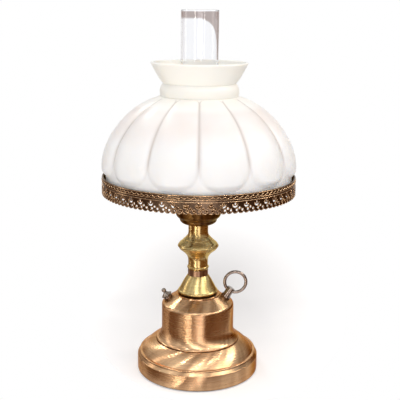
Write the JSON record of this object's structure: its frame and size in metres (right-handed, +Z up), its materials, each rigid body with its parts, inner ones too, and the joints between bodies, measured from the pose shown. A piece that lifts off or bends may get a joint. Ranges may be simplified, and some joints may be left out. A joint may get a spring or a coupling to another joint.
{
  "type": "table lamp",
  "caption": "Electric table lamp in oil-lamp style: clear chimney, ribbed milk-glass shade in a pierced brass gallery, turned column, copper-brass font and foot",
  "frame": {"origin": "middle of the underside, on the surface the lamp stands on", "axes": "+Z up along the lamp's axis; -Y to the front; +X to the right as seen from the front, the side of the finger ring; the turn switch is on -X and the cord inlet on +Y"},
  "size_m": [0.26, 0.26, 0.4946],
  "materials": {
    "copper_brass": "brushed and lacquered, copper-toned",
    "column_brass": "polished and lacquered",
    "spacer_copper": "darkened copper finish",
    "bronze_brass": "aged, satin",
    "antique_brass": "stamped and antiqued",
    "lamp_brass": "bright",
    "nickel": "aged nickel plate",
    "zinc_steel": "zinc plated",
    "cast_weight": "as cast",
    "felt": "pressed felt",
    "bushing_black": "moulded",
    "phenolic_brown": "moulded",
    "phenolic_black": "moulded",
    "lead_black": "extruded insulation",
    "paper_sleeve": "pressed paper fibre",
    "bulb_cap_metal": "bright",
    "bulb_frosted": "inside frosted",
    "milk_glass": "opal, gloss",
    "clear_glass": "clear, fire polished"
  },
  "bodies": {
    "lamp_stand": {"felt_pad": "felt", "ballast_weight": "cast_weight", "base_foot": "copper_brass", "cord_bushing": "bushing_black", "bottom_washer": "zinc_steel", "bottom_nut": "zinc_steel", "lamp_pipe": "zinc_steel", "font_body": "copper_brass", "switch_case_body": "phenolic_brown", "switch_bushing": "lamp_brass", "switch_nut": "nickel", "switch_leads": "lead_black", "ring_collar": "nickel", "ring_post": "nickel", "ring_post_nut": "zinc_steel", "column_bell": "column_brass", "column_spacer": "spacer_copper", "column_baluster": "column_brass", "burner_cup": "bronze_brass", "shade_hub": "bronze_brass", "shade_arms": "bronze_brass", "arm_rivets": "lamp_brass", "shade_ring": "bronze_brass", "gallery_band": "antique_brass", "gallery_lace": "antique_brass", "hub_lock_nut": "zinc_steel", "chimney_basket": "bronze_brass", "chimney_prongs": "bronze_brass", "socket_cap": "lamp_brass", "socket_core": "phenolic_black", "socket_screw_shell": "zinc_steel", "socket_contact": "lamp_brass", "socket_sleeve": "paper_sleeve", "socket_shell": "lamp_brass", "bulb_screw_cap": "bulb_cap_metal", "bulb_glass": "bulb_frosted"},
    "knob": {"switch_spindle": "zinc_steel", "switch_knob": "nickel"},
    "ring": {"finger_ring": "nickel"},
    "shade": {"glass_shade": "milk_glass"},
    "chimney": {"glass_chimney": "clear_glass"}
  },
  "joints": [
    {"name": "switch_turn", "type": "hinge", "parent": "lamp_stand", "child": "knob", "pos_m": [-0.041, 0, 0.10255], "axis": [-0.5299, 0, 0.848], "continuous": true},
    {"name": "ring_swing", "type": "hinge", "parent": "lamp_stand", "child": "ring", "pos_m": [0.04465, 0, 0.11395], "axis": [0.848, 0, -0.5299], "range_deg": [-100, 100]},
    {"name": "shade_lift", "type": "slide", "parent": "lamp_stand", "child": "shade", "axis": [0, 0, 1], "range_m": [0, 0.25]},
    {"name": "chimney_lift", "type": "slide", "parent": "lamp_stand", "child": "chimney", "axis": [0, 0, 1], "range_m": [0, 0.18]}
  ]
}
